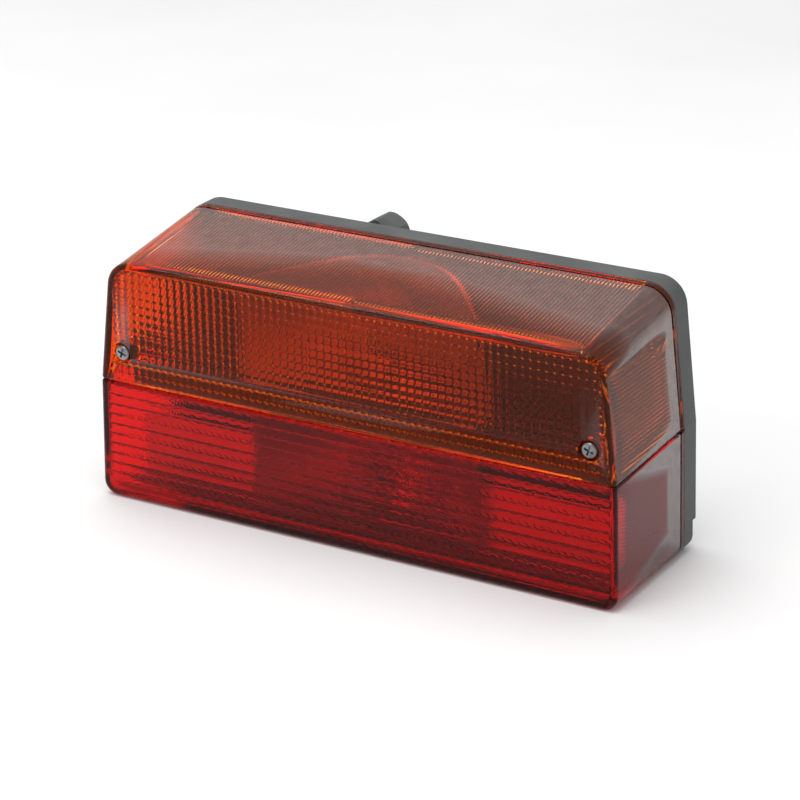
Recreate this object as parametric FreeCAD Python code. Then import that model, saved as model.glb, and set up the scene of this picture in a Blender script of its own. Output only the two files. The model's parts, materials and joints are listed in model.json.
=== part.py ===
import FreeCAD, Part
import math
import os
from FreeCAD import Vector

# Rear combination lamp for a trailer: an amber indicator chamber over a red stop and tail chamber.
# Millimetres. +X is right seen from the front, +Z is up and the lamp shines towards -Y.
# The origin is the middle of the two mounting studs, on the face of the mounting pads.

# ---- driving dimensions ----
MID_Z = 21.0                # the lamp's mid-height above the line of the studs
FRONT_Y = -74.5             # front face of the lens
RIM_Y = -12.5               # front rim of the housing, where the lens seats
SEAM_GAP = 0.3              # between the lens and the rim
HOUSING_BACK_Y = -3.2       # outside face of the housing's back wall
FLOOR_Y = -6.2              # inside face of the housing's back wall
SKIRT_BACK_Y = -0.6         # back edge of the skirt round the back wall

HALF_TOP = 114.5            # half-widths of the outline at the top, the colour split and the bottom
HALF_SPLIT = 121.0
HALF_BOTTOM = 122.5
SIDE_DRAFT = 0.5            # the front outline is this much narrower on each side
TOP_FRONT = 48.6            # heights from mid-height, at the front face and at the lens's back edge
TOP_BACK = 57.8
SPLIT_FRONT = -4.3
SPLIT_BACK = -1.9
BOTTOM_FRONT = -57.2
BOTTOM_BACK = -57.4
TOP_RADIUS_FRONT = 11.0
TOP_RADIUS_BACK = 12.0
BOTTOM_RADIUS_FRONT = 6.5
BOTTOM_RADIUS_BACK = 6.5

LENS_WALL = 2.8
FRONT_WALL = 2.8
FRONT_EDGE_RADIUS = 2.3
SEAM_RADIUS = 1.3           # rounds both colours along the split, so the seam is a V groove
TONGUE_INSET = 1.5
TONGUE_LENGTH = 1.4
LIP_GROOVE_Y = (-16.6, -15.4)               # a shallow groove that sets off the lens's back lip
LIP_GROOVE_DEPTH = 0.6

HOUSING_RIM = 5.2
HOUSING_EDGE_RADIUS = 1.5
SKIRT_WIDTH = 3.2
SKIRT_NOTCH = (-44.5, -4.6)                 # below this height the skirt is cut back to this depth
GROOVE_INSETS = (1.2, 3.2)
GROOVE_DEPTH = 3.6
GASKET_HEIGHT = 2.2
PAD_X = (57.0, 125.0)
PAD_HALF_HEIGHT = 25.0
PAD_INSET = 2.0
DIVIDER_Z = -5.8
DIVIDER_FRONT_Y = -66.0
DIVIDER_THICKNESS = 1.6
DRAIN_X = 60.0
DRAIN_RADIUS = 1.5
RIB_X = (-45.0, -15.0, 15.0, 45.0)          # stiffening ribs on the outside of the back wall
RIB_HEIGHTS = (-44.0, 30.0)
CROSS_RIB_X = (-50.0, 50.0)
CROSS_RIB_HEIGHTS = (-8.0, -6.0)
RIB_HALF_WIDTH = 1.0
RIB_BACK_Y = -1.4

SCREW_X = 108.8             # the two lens screws
SCREW_Z = 9.1
RECESS_RADIUS = 4.6
RECESS_DEPTH = 3.2
BOSS_RADIUS = 5.6
BOSS_BACK_Y = -64.0
PILLAR_RADIUS = 5.0
PILLAR_GAP = 0.4
SCREW_RADIUS = 2.0
SCREW_HEAD_RADIUS = 3.5
SCREW_HEAD_HEIGHT = 2.3
SCREW_HEAD_ROUND = 1.1
SCREW_LENGTH = 27.0
SCREW_TIP = (0.5, 3.0)      # end radius and length of the point
SCREW_HOLE_SPARE = 8.0      # the pillar's hole goes this far past the head's depth plus the shank
CROSS_HALF_LENGTH = 2.1
CROSS_HALF_WIDTH = 0.45
CROSS_DEPTH = 1.5
CROSS_TURN_DEG = 20.0
RUNNING_CLEARANCE = 0.06
FIT_CLEARANCE = 0.03        # round rivets and screws in the pieces that they hold
STRIP_GAP = 0.2             # between a contact strip and its channel
SEAL_THICKNESS = 0.7

BULB_Z = {"amber": 24.0, "red": -30.5}       # heights of the two bulbs from mid-height
PIN_Y = -22.0               # the bayonet pins' depth
DISH_VERTEX_Y = -14.0
DISH_FOUR_F = 70.0          # the dishes are y = vertex - r * r / DISH_FOUR_F
DISH_WALL = 1.6
DISH_HOLE_RADIUS = 10.0
DISH_HALF_WIDTH = {"amber": 57.0, "red": 54.0}
DISH_HEIGHTS = {"amber": (0.5, 45.5), "red": (-51.0, -10.0)}
DISH_CORNERS = {"amber": (8.0, 12.0), "red": (5.0, 8.0)}    # top and bottom radii
WING_X = 112.0              # the red reflector's flat wings, under the stop and tail lens
WING_HEIGHTS = (-51.0, -19.0)
WING_Y = -52.0
WING_OVERLAP = 0.6          # from the circle where the dish crosses the wings' face to the wings' edge
POST_OFFSET = (17.0, 13.0)
POST_RADIUS = 3.0
POST_Y = -17.2
POST_SCREW_RADIUS = 1.4
POST_SCREW_HOLE_RADIUS = POST_SCREW_RADIUS + FIT_CLEARANCE
POST_SCREW_LENGTH = 9.0
POST_SCREW_HEAD = (2.7, 1.8)                # radius and height
DISH_REACH = 75.0           # radius that the whole paraboloid is turned to before it is trimmed
DISH_SPLINE_STEPS = 10
SLOT_HALF_WIDTH = 0.35      # screwdriver slots
SLOT_DEPTH = 0.9
DISH_BOSS_FRONT_Y = -22.5

SHELL_BORE = 7.65
SHELL_WALL = 0.6
SHELL_MOUTH_Y = -28.0
FLANGE_RADIUS = 13.0
SHEET = 0.6                 # thickness of strips and flanges
INSULATOR_THICKNESS = 1.2
RIVET_X = 10.5
RIVET_RADIUS = 1.2
RIVET_HOLE_RADIUS = RIVET_RADIUS + FIT_CLEARANCE
RIVET_HEAD_RADIUS = 2.0
RIVET_HEAD_HEIGHT = 0.9
INSULATOR_MARGIN = 1.5      # the insulating board reaches this far past the socket's flange
INSULATOR_CORNER = 5.0
PIN_STAGGER = 1.5           # the stop and tail bulb's pins sit this far before and behind PIN_Y
SLOT_SLACK = 0.3            # round a bayonet pin in its slot
SLOT_END_SLACK = 0.2
TWIST_DEG = 20.0
PUSH = 2.0
DISC_RADIUS = 7.3
DISC_Y = (-14.5, -13.0)
CONTACT_Y = -14.9
CONTACT_RADIUS = 1.9
CONTACT_STEM_RADIUS = 1.4
SPRING_WIRE = 0.25
SPRING_RADIUS = 1.8
SPRING_TURNS = 5
TWIN_OFFSET = 3.4           # stop and tail contacts, above and below the bulb's axis

CAP_RADIUS = 7.5
CAP_WALL = 0.5
CAP_BELOW_PINS = 6.0
CAP_ABOVE_PINS = 12.5
BULB_RADIUS = 12.7
BULB_CENTRE = 32.3          # from the pins
BULB_NECK_RADIUS = 6.9
GLASS_WALL = 0.8
FILAMENT_HEIGHT = 31.8
PIN_RADIUS = 1.0
PIN_REACH = 8.4
PIN_ROOT = 0.3              # how far a bayonet pin is set into the cap's wall
BULB_NECK_START = 9.0
NECK_FILLET = 5.0
NOSE_RADIUS = {"amber": 3.2, "red": 6.2}    # the black glass round one contact or two
BASE_DEPTH = 2.5
SOLDER_RADIUS = 1.6
SOLDER_HEIGHT = 1.0
SOLDER_SINK = 0.5
FILAMENT_RADIUS = 0.5
FILAMENT_WIRE = 0.11
FILAMENT_TURNS = 9
FILAMENT_HALF = 3.0
TAIL_FILAMENT = (5.0, 2.8, 2.2)             # behind and above the main one, and half its length
SUPPORT_RADIUS = 0.3
SUPPORT_FOOT = 20.6
STEM_FOOT = (9.5, 12.5)
STEM_PRESS = (12.0, 20.5)
STEM_HALF_WIDTH = 4.6
STEM_HEIGHTS = (-1.6, 4.0)
STEM_CORNER = 1.2

STRIP_WIDTH = 4.0
TERMINAL_X = -59.0
TERMINAL_HEIGHTS = {"indicator": -13.0, "stop": -24.5, "tail": -36.0, "earth": -47.5}
TERMINAL_PITCH = 11.5
BLOCK_WIDTH = 14.0
BLOCK_FRONT_Y = -18.2
BLOCK_MARGIN = 1.2
BLOCK_CORNER = 1.5
BLOCK_FRONT_WALL = 2.0
CLAMP_HALF = 3.3
CLAMP_CAVITY_HALF = 3.5
WIRE_ENTRY_Y = -12.5
WIRE_ENTRY_RADIUS = 2.2
CLAMP_ENTRY_RADIUS = 1.9
TERMINAL_SCREW_HEAD = (2.7, 1.6)            # radius and height
TERMINAL_SCREW_RADIUS = 1.5
TERMINAL_SCREW_END_Y = -13.6
TERMINAL_SCREW_WELL = 3.0
EARTH_X = 10.5
INDICATOR_TURN_X = -28.0
INDICATOR_DROP = 8.0        # the indicator strip passes this far below its socket's rivets
TWIN_TURN_X = -20.0

STUD_X = 76.0
STUD_RADIUS = 3.0
THREAD_RADIUS = 2.9
STUD_PLAIN_Y = (-0.4, 4.8)
STUD_END_Y = 28.0
STUD_HEAD_FLATS = 10.0
STUD_HEAD_HEIGHT = 4.0
STUD_HEAD_ROUND = 5.6
STUD_CHAMFER = 0.7
STUD_RECESS = (4.6, 0.8)    # radius and depth of the recess round each stud in its pad
NECK_HALF = 3.0             # half-width of the square hole that stops a stud from turning
NECK_CLEARANCE = 0.15
WASHER_Y = 5.2
WASHER_RADIUS = 6.0
WASHER_THICKNESS = 1.6
SPRING_WASHER_RADIUS = 4.8
SPRING_WASHER_SPLIT = 0.8
NUT_FLATS = 10.0
NUT_ROUND = 5.6
NUT_HEIGHT = 5.0
NUT_GAP = 0.2

GLAND_X = -36.0
GLAND_Z = 44.5
SPOUT_RADIUS = 7.2
SPOUT_BORE = 4.6
SPOUT_END_Y = 18.0
SEAL_SEAT_Y = 10.0
SEAL_SEAT_RADIUS = 5.9
SPOUT_FOOT = (8.8, 1.5)     # radius and back face of the spout's foot
SEAL_LENGTH = 9.9
GLAND_WASHER_Y = (20.0, 21.2)
CABLE_RADIUS = 3.5
GLAND_NUT_Y = (12.0, 27.5)
GLAND_NUT_FLATS = 17.0
GLAND_NUT_ROUND = 9.4
GLAND_HOLE = 4.8
GLAND_NUT_DOME = 2.5
GLAND_NUT_BORE_Y = 22.5     # the thread's end inside the cap nut

Y_AXIS = Vector(0, 1, 0)


# ---- small geometry helpers ----
def at(x, y, height):
    """A point given by its height from the lamp's mid-height."""
    return Vector(x, y, height + MID_Z)


def rod(x, height, y_start, y_end, radius):
    """A round bar along Y."""
    return Part.makeCylinder(radius, y_end - y_start, at(x, y_start, height), Y_AXIS)


def tube(x, height, y_start, y_end, outer, inner):
    bore = rod(x, height, y_start - 1, y_end + 1, inner)
    return rod(x, height, y_start, y_end, outer).cut(bore)


def slab(x_range, y_range, height_range):
    size = [high - low for low, high in (x_range, y_range, height_range)]
    return Part.makeBox(*size, at(x_range[0], y_range[0], height_range[0]))


def hex_bar(x, height, y_start, y_end, flats, round_to):
    """A hexagonal bar along Y with its corners turned down to a radius."""
    radius = flats / math.sqrt(3)
    corners = [60 * i for i in range(7)]
    points = [
        at(x + radius * math.sin(math.radians(a)), y_start, height + radius * math.cos(math.radians(a)))
        for a in corners
    ]
    bar = Part.Face(Part.makePolygon(points)).extrude(Vector(0, y_end - y_start, 0))
    return bar.common(rod(x, height, y_start, y_end, round_to))


def fuse_all(shapes):
    return shapes[0].multiFuse(shapes[1:]).removeSplitter() if len(shapes) > 1 else shapes[0]


def rounded_wire(corners, y):
    """A closed wire at depth y from (x, height, radius) corners; radius 0 keeps a corner sharp."""
    spots = [at(x, y, height) for x, height, radius in corners]
    edges = []
    stops = []
    for i, (x, height, radius) in enumerate(corners):
        here = spots[i]
        to_last = (spots[i - 1] - here).normalize()
        to_next = (spots[(i + 1) % len(spots)] - here).normalize()
        if radius <= 0:
            stops.append((here, None, here))
            continue
        half_angle = to_last.getAngle(to_next) / 2
        reach = radius / math.tan(half_angle)
        inward = (to_last + to_next).normalize()
        middle = here + inward * (radius / math.sin(half_angle) - radius)
        stops.append((here + to_last * reach, middle, here + to_next * reach))
    for i, (start, middle, end) in enumerate(stops):
        if middle:
            edges.append(Part.Arc(start, middle, end).toShape())
        edges.append(Part.makeLine(end, stops[(i + 1) % len(stops)][0]))
    return Part.Wire(edges)


def prism(corners, y_start, y_end):
    return Part.Face(rounded_wire(corners, y_start)).extrude(Vector(0, y_end - y_start, 0))


def rounded_box(x_range, y_range, height_range, top_radius, bottom_radius):
    left, right = x_range
    low, high = height_range
    corners = [(left, high, top_radius), (right, high, top_radius)]
    corners += [(right, low, bottom_radius), (left, low, bottom_radius)]
    return prism(corners, *y_range)


def helix(x, height, y_start, length, radius, wire, turns):
    """A round-wire coil along Y."""
    path = Part.makeHelix(length / turns, length, radius)
    section = Part.Wire(Part.makeCircle(wire, Vector(radius, 0, 0), Y_AXIS))
    coil = Part.Wire(path).makePipeShell([section], True, True)
    coil.rotate(Vector(0, 0, 0), Vector(1, 0, 0), -90)
    coil.translate(at(x, y_start, height))
    return coil


# ---- the lamp's outline ----
def outline(y, inset=0.0):
    """The outline's corners at depth y, clockwise seen from the front, moved inwards by inset."""
    share = (y - FRONT_Y) / (RIM_Y - FRONT_Y)

    def between(front, back):
        return front + (back - front) * share

    narrow = between(SIDE_DRAFT, 0.0)
    top = between(TOP_FRONT, TOP_BACK)
    split = between(SPLIT_FRONT, SPLIT_BACK)
    bottom = between(BOTTOM_FRONT, BOTTOM_BACK)
    top_radius = between(TOP_RADIUS_FRONT, TOP_RADIUS_BACK)
    bottom_radius = between(BOTTOM_RADIUS_FRONT, BOTTOM_RADIUS_BACK)
    right_side = [
        (HALF_TOP - narrow, top, top_radius),
        (HALF_SPLIT - narrow, split, 0.0),
        (HALF_BOTTOM - narrow, bottom, bottom_radius),
    ]
    left_side = [(-x, height, radius) for x, height, radius in reversed(right_side)]
    return inset_corners(left_side[-1:] + right_side + left_side[:-1], inset)


def inset_corners(corners, inset):
    """Moves each side of a clockwise polygon inwards by inset and finds the new corners."""
    lines = []
    for i, (x, height, radius) in enumerate(corners):
        next_x, next_height, next_radius = corners[(i + 1) % len(corners)]
        length = math.hypot(next_x - x, next_height - height)
        step = ((next_x - x) / length, (next_height - height) / length)
        lines.append((x + step[1] * inset, height - step[0] * inset, step))
    moved = []
    for i, (x, height, radius) in enumerate(corners):
        last_x, last_height, last_step = lines[i - 1]
        this_x, this_height, this_step = lines[i]
        cross = last_step[0] * this_step[1] - last_step[1] * this_step[0]
        gap = ((this_x - last_x) * this_step[1] - (this_height - last_height) * this_step[0]) / cross
        new_radius = max(radius - inset, 0.5) if radius else 0.0
        moved.append((last_x + last_step[0] * gap, last_height + last_step[1] * gap, new_radius))
    return moved


def outline_loft(y_front, y_back, inset):
    front = rounded_wire(outline(y_front, inset), y_front)
    back = rounded_wire(outline(y_back, inset), y_back)
    return Part.makeLoft([front, back], True, True)


def outline_ring(y_start, y_end, outer_inset, inner_inset):
    outer = prism(outline(RIM_Y, outer_inset), y_start, y_end)
    return outer.cut(prism(outline(RIM_Y, inner_inset), y_start - 1, y_end + 1))


def split_height(y):
    return SPLIT_FRONT + (SPLIT_BACK - SPLIT_FRONT) * (y - FRONT_Y) / (RIM_Y - FRONT_Y)


def half_space(upper):
    """The space above or below the plane that parts the two colours."""
    far_front, far_back, reach = FRONT_Y - 20, 20.0, 200.0
    end = reach if upper else -reach
    points = [
        at(-reach, far_front, split_height(far_front)),
        at(-reach, far_back, split_height(far_back)),
        at(-reach, far_back, end),
        at(-reach, far_front, end),
    ]
    points.append(points[0])
    return Part.Face(Part.makePolygon(points)).extrude(Vector(2 * reach, 0, 0))


# ---- lens ----
def lens_outer():
    back_y = RIM_Y - SEAM_GAP
    body = outline_loft(FRONT_Y, back_y, 0.0)
    front_edges = [e for e in body.Edges if e.BoundBox.YMax < FRONT_Y + 0.01]
    return body.makeFillet(FRONT_EDGE_RADIUS, front_edges)


def on_split(edge):
    points = [edge.valueAt(edge.FirstParameter), edge.valueAt(edge.LastParameter)]
    return all(abs(p.z - MID_Z - split_height(p.y)) < 0.01 for p in points)


def rounded_along_seam(half):
    back_y = RIM_Y - SEAM_GAP
    edges = [e for e in half.Edges if on_split(e) and e.BoundBox.YMin < back_y - 0.01]
    return half.makeFillet(SEAM_RADIUS, edges)


def lens_half(upper):
    back_y = RIM_Y - SEAM_GAP
    tongue = prism(outline(RIM_Y, TONGUE_INSET), back_y - 1, back_y + TONGUE_LENGTH)
    half = rounded_along_seam(lens_outer().fuse(tongue).common(half_space(upper)))
    hollow = outline_loft(FRONT_Y + FRONT_WALL, back_y + TONGUE_LENGTH + 2, LENS_WALL)
    groove = outline_loft(*LIP_GROOVE_Y, -1.0).cut(outline_loft(*LIP_GROOVE_Y, LIP_GROOVE_DEPTH))
    return half.cut(hollow).cut(groove)


def amber_lens():
    lens = lens_half(True)
    for x in (-SCREW_X, SCREW_X):
        boss = rod(x, SCREW_Z, FRONT_Y + 1, BOSS_BACK_Y, BOSS_RADIUS)
        lens = lens.fuse(boss)
        lens = lens.cut(rod(x, SCREW_Z, FRONT_Y - 1, FRONT_Y + RECESS_DEPTH, RECESS_RADIUS))
        lens = lens.cut(rod(x, SCREW_Z, FRONT_Y, BOSS_BACK_Y + 1, SCREW_RADIUS + 0.15))
    return lens


def red_lens():
    return lens_half(False)


def lens_screw(x):
    """A cross-recessed pan-head screw that reaches from the lens into the housing's pillar."""
    under_head = FRONT_Y + RECESS_DEPTH - SEAL_THICKNESS
    head = rod(x, SCREW_Z, under_head - SCREW_HEAD_HEIGHT, under_head, SCREW_HEAD_RADIUS)
    rim = [e for e in head.Edges if e.BoundBox.YMax < under_head - 0.1]
    head = head.makeFillet(SCREW_HEAD_ROUND, rim)
    shank = rod(x, SCREW_Z, under_head, under_head + SCREW_LENGTH, SCREW_RADIUS)
    tip = Part.makeCone(SCREW_RADIUS, *SCREW_TIP, at(x, under_head + SCREW_LENGTH, SCREW_Z), Y_AXIS)
    length = (-CROSS_HALF_LENGTH, CROSS_HALF_LENGTH)
    width = (-CROSS_HALF_WIDTH, CROSS_HALF_WIDTH)
    depth = (-1, CROSS_DEPTH)
    cross = slab(length, depth, width).fuse(slab(width, depth, length))
    cross.translate(at(x, under_head - SCREW_HEAD_HEIGHT, SCREW_Z) - Vector(0, 0, MID_Z))
    cross.rotate(at(x, 0, SCREW_Z), Y_AXIS, CROSS_TURN_DEG)
    return fuse_all([head, shank, tip]).cut(cross)


def slotted(screw, x, top, height):
    """Cuts a straight screwdriver slot across a screw's head."""
    reach = 2 * TERMINAL_SCREW_HEAD[0]
    slot = slab((-reach, reach), (-1, SLOT_DEPTH), (-SLOT_HALF_WIDTH, SLOT_HALF_WIDTH))
    slot.translate(at(x, top, height) - Vector(0, 0, MID_Z))
    return screw.cut(slot)


def lens_screw_seals():
    top = FRONT_Y + RECESS_DEPTH
    rings = [
        tube(x, SCREW_Z, top - SEAL_THICKNESS + 0.05, top, SCREW_HEAD_RADIUS + 0.4, SCREW_RADIUS + 0.1)
        for x in (-SCREW_X, SCREW_X)
    ]
    return Part.Compound(rings)


# ---- housing ----
def skirt_notch():
    """The space along the bottom where the skirt is cut back, so that water can run out."""
    top, depth = SKIRT_NOTCH
    around = outline_ring(depth, 1, -1.0, SKIRT_WIDTH)
    return around.common(slab((-HALF_BOTTOM - 2, HALF_BOTTOM + 2), (depth, 1), (BOTTOM_BACK - 2, top)))


def housing_shell():
    """The rim and back wall, with a skirt round the back."""
    shell = prism(outline(RIM_Y), RIM_Y, SKIRT_BACK_Y)
    back_edges = [e for e in shell.Edges if e.BoundBox.YMin > SKIRT_BACK_Y - 0.01]
    shell = shell.makeFillet(HOUSING_EDGE_RADIUS, back_edges)
    shell = shell.cut(prism(outline(RIM_Y, SKIRT_WIDTH), HOUSING_BACK_Y, 0))
    shell = shell.cut(skirt_notch())
    shell = shell.cut(prism(outline(RIM_Y, HOUSING_RIM), RIM_Y - 1, FLOOR_Y))
    groove = outline_ring(RIM_Y - 1, RIM_Y + GROOVE_DEPTH, *GROOVE_INSETS)
    return shell.cut(groove)


def mounting_pads():
    stud_height = -MID_Z
    heights = (stud_height - PAD_HALF_HEIGHT, stud_height + PAD_HALF_HEIGHT)
    within = prism(outline(RIM_Y, PAD_INSET), HOUSING_BACK_Y - 1, 0)
    pads = []
    for left, right in (PAD_X, (-PAD_X[1], -PAD_X[0])):
        block = rounded_box((left, right), (HOUSING_BACK_Y - 1, 0), heights, 4, 4)
        pads.append(block.common(within))
    return pads


def housing_posts():
    posts = []
    for x in (-SCREW_X, SCREW_X):
        posts.append(rod(x, SCREW_Z, BOSS_BACK_Y + PILLAR_GAP, FLOOR_Y + 1, PILLAR_RADIUS))
    for colour, height in BULB_Z.items():
        for sign in (-1, 1):
            spot = (sign * POST_OFFSET[0], height - sign * POST_OFFSET[1])
            posts.append(rod(*spot, POST_Y, FLOOR_Y + 1, POST_RADIUS))
    return posts


def divider():
    """The light wall between the two chambers, with gaps at its foot for the contact strips."""
    heights = (DIVIDER_Z - DIVIDER_THICKNESS / 2, DIVIDER_Z + DIVIDER_THICKNESS / 2)
    wall = slab((-SCREW_X, SCREW_X), (DIVIDER_FRONT_Y, FLOOR_Y + 1), heights)
    for x in (INDICATOR_TURN_X, EARTH_X):
        through = (heights[0] - 1, heights[1] + 1)
        gap = slab((x - STRIP_WIDTH, x + STRIP_WIDTH), (FLOOR_Y - 2, FLOOR_Y), through)
        wall = wall.cut(gap)
    return wall


def back_ribs():
    """Stiffening ribs on the outside of the back wall, between the pads."""
    depth = (HOUSING_BACK_Y - 1, RIB_BACK_Y)
    ribs = [slab((x - RIB_HALF_WIDTH, x + RIB_HALF_WIDTH), depth, RIB_HEIGHTS) for x in RIB_X]
    return ribs + [slab(CROSS_RIB_X, depth, CROSS_RIB_HEIGHTS)]


def cable_spout():
    foot = rod(GLAND_X, GLAND_Z, HOUSING_BACK_Y - 1, SPOUT_FOOT[1], SPOUT_FOOT[0])
    within = prism(outline(RIM_Y, 1.0), HOUSING_BACK_Y - 2, 3)
    return [foot.common(within), rod(GLAND_X, GLAND_Z, HOUSING_BACK_Y - 1, SPOUT_END_Y, SPOUT_RADIUS)]


def rivet_seat_y():
    """Depth of the counterbores in the back wall that the rivets' tails lie in."""
    return HOUSING_BACK_Y - RIVET_HEAD_HEIGHT - 0.1


def housing_holes():
    holes = [rod(GLAND_X, GLAND_Z, FLOOR_Y - 1, SPOUT_END_Y + 1, SPOUT_BORE)]
    holes.append(rod(GLAND_X, GLAND_Z, SEAL_SEAT_Y, SPOUT_END_Y + 1, SEAL_SEAT_RADIUS))
    for x in (-SCREW_X, SCREW_X):
        depth = FRONT_Y + SCREW_LENGTH + SCREW_HOLE_SPARE
        holes.append(rod(x, SCREW_Z, BOSS_BACK_Y - 1, depth, SCREW_RADIUS + RUNNING_CLEARANCE))
    for x in (-STUD_X, STUD_X):
        half = NECK_HALF
        holes.append(slab((x - half, x + half), (FLOOR_Y - 1, 1), (-MID_Z - half, -MID_Z + half)))
        holes.append(rod(x, -MID_Z, -STUD_RECESS[1], 1, STUD_RECESS[0]))
    for colour, height in BULB_Z.items():
        for sign in (-1, 1):
            holes.append(rod(sign * RIVET_X, height, FLOOR_Y - 1, HOUSING_BACK_Y + 1, RIVET_HOLE_RADIUS))
            holes.append(rod(sign * RIVET_X, height, rivet_seat_y(), 0, RIVET_HEAD_RADIUS + 0.3))
            spot = (sign * POST_OFFSET[0], height - sign * POST_OFFSET[1])
            holes.append(rod(*spot, POST_Y - 1, POST_Y + POST_SCREW_LENGTH, POST_SCREW_HOLE_RADIUS))
    for x in (-DRAIN_X, DRAIN_X):
        drain_y = (RIM_Y + FLOOR_Y + HOUSING_BACK_Y) / 3
        start = at(x, drain_y, BOTTOM_BACK - 1)
        holes.append(Part.makeCylinder(DRAIN_RADIUS, HOUSING_RIM + 3, start, Vector(0, 0, 1)))
    return holes


def housing():
    solids = [housing_shell(), divider()]
    solids += mounting_pads() + housing_posts() + back_ribs() + cable_spout()
    body = fuse_all(solids)
    for hole in housing_holes():
        body = body.cut(hole)
    return body


def lens_gasket():
    """The foam-rubber seal at the bottom of the rim's groove."""
    outer, inner = GROOVE_INSETS
    bottom = RIM_Y + GROOVE_DEPTH
    return outline_ring(bottom - GASKET_HEIGHT, bottom, outer + 0.1, inner - 0.1)


# ---- reflectors ----
def dish_profile_y(radius):
    return DISH_VERTEX_Y - radius * radius / DISH_FOUR_F


def dish(colour):
    """A paraboloid about the bulb's axis, trimmed to a rounded rectangle."""
    step = (DISH_REACH - DISH_HOLE_RADIUS) / DISH_SPLINE_STEPS
    radii = [DISH_HOLE_RADIUS + step * i for i in range(DISH_SPLINE_STEPS + 1)]
    face_points = [at(r, dish_profile_y(r), BULB_Z[colour]) for r in radii]
    back_points = [p + Vector(0, DISH_WALL, 0) for p in face_points]
    curves = []
    for points in (face_points, back_points):
        spline = Part.BSplineCurve()
        spline.interpolate(points)
        curves.append(spline.toShape())
    ends = [Part.makeLine(face_points[i], back_points[i]) for i in (0, -1)]
    section = Part.Face(Part.Wire([curves[0], ends[1], curves[1], ends[0]]))
    bowl = section.revolve(at(0, 0, BULB_Z[colour]), Y_AXIS, 360)
    half = DISH_HALF_WIDTH[colour]
    trim = rounded_box((-half, half), (FRONT_Y, 0), DISH_HEIGHTS[colour], *DISH_CORNERS[colour])
    return bowl.common(trim)


def reflector(colour):
    parts = [dish(colour)]
    for sign in (-1, 1):
        spot = (sign * POST_OFFSET[0], BULB_Z[colour] - sign * POST_OFFSET[1])
        parts.append(rod(*spot, DISH_BOSS_FRONT_Y, POST_Y, POST_RADIUS))
    if colour == "red":
        meeting_radius = math.sqrt((DISH_VERTEX_Y - WING_Y) * DISH_FOUR_F) + WING_OVERLAP
        wing = rounded_box((-WING_X, WING_X), (WING_Y, WING_Y + DISH_WALL), WING_HEIGHTS, 3, 5)
        parts.append(wing.cut(rod(0, BULB_Z[colour], WING_Y - 1, 0, meeting_radius)))
    shape = fuse_all(parts)
    for sign in (-1, 1):
        spot = (sign * POST_OFFSET[0], BULB_Z[colour] - sign * POST_OFFSET[1])
        shape = shape.cut(rod(*spot, DISH_BOSS_FRONT_Y - 1, POST_Y + 1, POST_SCREW_RADIUS + 0.1))
    return shape


def reflector_screws():
    screws = []
    for colour, height in BULB_Z.items():
        for sign in (-1, 1):
            spot = (sign * POST_OFFSET[0], height - sign * POST_OFFSET[1])
            top = DISH_BOSS_FRONT_Y - POST_SCREW_HEAD[1]
            head = rod(*spot, top, DISH_BOSS_FRONT_Y, POST_SCREW_HEAD[0])
            shank = rod(*spot, DISH_BOSS_FRONT_Y, POST_Y + POST_SCREW_LENGTH - 1, POST_SCREW_RADIUS)
            screws.append(slotted(head.fuse(shank), spot[0], top, spot[1]))
    return Part.Compound(screws)


# ---- bulb sockets ----
def pin_offset(colour, sign):
    """The stop and tail bulb's pins are 3 mm apart in depth, so that it can't be fitted turned round."""
    return 0.0 if colour == "amber" else PIN_STAGGER * sign


def bayonet_slot(colour, sign):
    """An L-shaped slot for one pin: straight in from the mouth, then round to the pin's resting place."""
    height = BULB_Z[colour]
    pin_y = PIN_Y + pin_offset(colour, sign)
    slack = math.degrees((PIN_RADIUS + SLOT_SLACK) / SHELL_BORE)
    low_y = pin_y - PIN_RADIUS - SLOT_END_SLACK
    high_y = pin_y + PUSH + PIN_RADIUS + SLOT_END_SLACK
    outer = SHELL_BORE + 2
    legs = []
    for y_start, y_end, first, sweep in (
        (low_y, high_y, -slack, TWIST_DEG + 2 * slack),
        (SHELL_MOUTH_Y - 1, high_y, TWIST_DEG - slack, 2 * slack),
    ):
        leg = Part.makeCylinder(outer, y_end - y_start, Vector(0, 0, 0), Vector(0, 0, 1), sweep)
        leg.rotate(Vector(0, 0, 0), Vector(0, 0, 1), first)
        # the sector's own +Z becomes the lamp's -Y, so that a positive turn is anticlockwise from the front
        leg.rotate(Vector(0, 0, 0), Vector(1, 0, 0), 90)
        leg.translate(at(0, y_end, height))
        if sign < 0:
            leg.rotate(at(0, 0, height), Y_AXIS, 180)
        legs.append(leg)
    return legs


def socket_levels():
    """Depths of the riveted stack on the floor: strips, insulator, flange."""
    strip = FLOOR_Y - SHEET
    insulator = strip - INSULATOR_THICKNESS
    flange = insulator - SHEET
    return strip, insulator, flange


def socket_shell(colour):
    height = BULB_Z[colour]
    strip, insulator, flange = socket_levels()
    shell = rod(0, height, flange, insulator, FLANGE_RADIUS)
    shell = shell.fuse(rod(0, height, SHELL_MOUTH_Y, insulator, SHELL_BORE + SHELL_WALL))
    shell = shell.cut(rod(0, height, SHELL_MOUTH_Y - 1, insulator + 1, SHELL_BORE))
    for sign in (-1, 1):
        shell = shell.cut(rod(sign * RIVET_X, height, flange - 1, insulator + 1, RIVET_HOLE_RADIUS))
        for leg in bayonet_slot(colour, sign):
            shell = shell.cut(leg)
    return shell


def contact_spots(colour):
    """Offsets above the bulb's axis of the contacts in each socket."""
    return [0.0] if colour == "amber" else [TWIN_OFFSET, -TWIN_OFFSET]


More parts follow.
